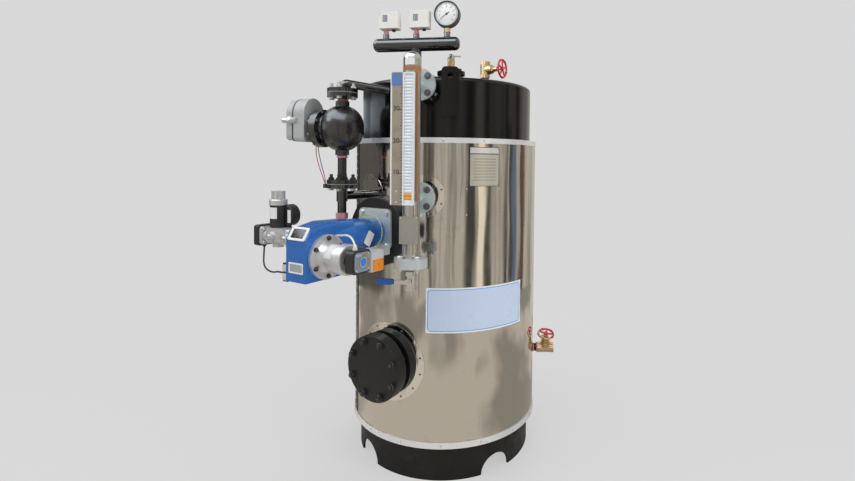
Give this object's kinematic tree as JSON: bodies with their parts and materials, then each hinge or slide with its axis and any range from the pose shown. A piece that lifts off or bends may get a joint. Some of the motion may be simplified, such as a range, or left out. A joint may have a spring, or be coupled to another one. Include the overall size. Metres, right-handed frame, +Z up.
{
  "type": "vertical steam boiler",
  "caption": "Upright cylindrical steam boiler on an arched skirt, with polished jacket, gas burner, level gauge, float controller, hand hole, instrument header and valves.",
  "frame": {"origin": "centre of the skirt's foot circle, on the floor", "axes": "+Z up along the vessel, -Y to the front where the burner stands, +X to the right seen from the front"},
  "size_m": [0.8672, 1.2516, 1.855],
  "materials": {
    "black_enamel": "glossy black enamel",
    "black_casting": "black painted casting",
    "polished_stainless": "polished stainless sheet",
    "zinc_plate": "bright zinc plating",
    "stainless_tube": "ground stainless tube",
    "blue_enamel": "semi-gloss blue paint",
    "cast_aluminium": "bare die casting",
    "grey_casting": "light grey painted casting",
    "black_plastic": "black moulding",
    "grey_plastic": "grey moulding",
    "black_iron_pipe": "dark gas pipe",
    "white_rail": "white coated profile",
    "scale_plate": "brushed plate",
    "brass": "cast brass",
    "red_paint": "glossy red paint",
    "chrome_valve": "nickel plated brass",
    "blue_grip": "dipped blue sleeve on steel",
    "cream_plastic": "off-white moulding",
    "gauge_case": "black steel case",
    "cable_black": "black sheath",
    "wire_red": "red insulation",
    "wire_blue": "blue insulation",
    "wire_earth": "yellow and green insulation",
    "hose_white": "white silicone"
  },
  "bodies": {
    "boiler": {"skirt": "black_enamel", "bottom_plate": "black_enamel", "boiler_shell": "black_enamel", "top_head": "black_enamel", "flue_outlet": "black_enamel", "lifting_lugs": "black_enamel", "hand_hole_neck": "black_enamel", "hand_hole_cover": "black_enamel", "burner_mount": "black_enamel", "gauge_nozzles": "black_enamel", "float_upper_pipe": "black_enamel", "float_lower_pipe": "black_enamel", "instrument_manifold": "black_enamel", "safety_nozzle": "black_enamel", "float_chamber": "black_casting", "float_neck": "black_casting", "jacket": "polished_stainless", "jacket_bands": "polished_stainless", "jacket_rosettes": "polished_stainless", "burner_plate": "zinc_plate", "gauge_bottom_flange": "zinc_plate", "gauge_column": "stainless_tube", "burner_housing": "blue_enamel", "burner_motor": "cast_aluminium", "gas_valve_body": "cast_aluminium", "float_switch_head": "grey_casting", "burner_sockets": "black_plastic", "gas_actuator": "black_plastic", "gas_solenoid": "black_plastic", "gas_pressure_switch": "black_plastic", "air_pressure_switch": "grey_plastic", "ignition_transformer": "grey_plastic", "gas_pipe": "black_iron_pipe", "gauge_rail": "white_rail", "gauge_scale": "scale_plate", "top_valve_body": "brass", "blowdown_valve_body": "brass", "safety_valve": "brass", "drain_valve_body": "chrome_valve", "pressure_switch_left": "cream_plastic", "pressure_switch_right": "cream_plastic", "pressure_gauge": "gauge_case", "gas_valve_cable": "cable_black", "float_wire_red": "wire_red", "float_wire_blue": "wire_blue", "earth_wire": "wire_earth", "air_hose": "hose_white"},
    "top_wheel": {"top_valve_handwheel": "red_paint"},
    "blowdown_wheel": {"blowdown_handwheel": "red_paint"},
    "drain_lever": {"drain_valve_lever": "blue_grip"}
  },
  "joints": [
    {"name": "top_wheel_turn", "type": "hinge", "parent": "boiler", "child": "top_wheel", "pos_m": [0.143, 0.094, 1.654], "axis": [1, 0, 0], "range_deg": [0, 1530]},
    {"name": "blowdown_wheel_turn", "type": "hinge", "parent": "boiler", "child": "blowdown_wheel", "pos_m": [0.39751, 0.2295, 0.387], "axis": [0.171, -0.2962, 0.9397], "range_deg": [0, 1530]},
    {"name": "drain_lever_turn", "type": "hinge", "parent": "boiler", "child": "drain_lever", "pos_m": [0.21257, -0.53964, 0.826], "axis": [0.3665, -0.9304, 0], "range_deg": [0, 90]}
  ]
}
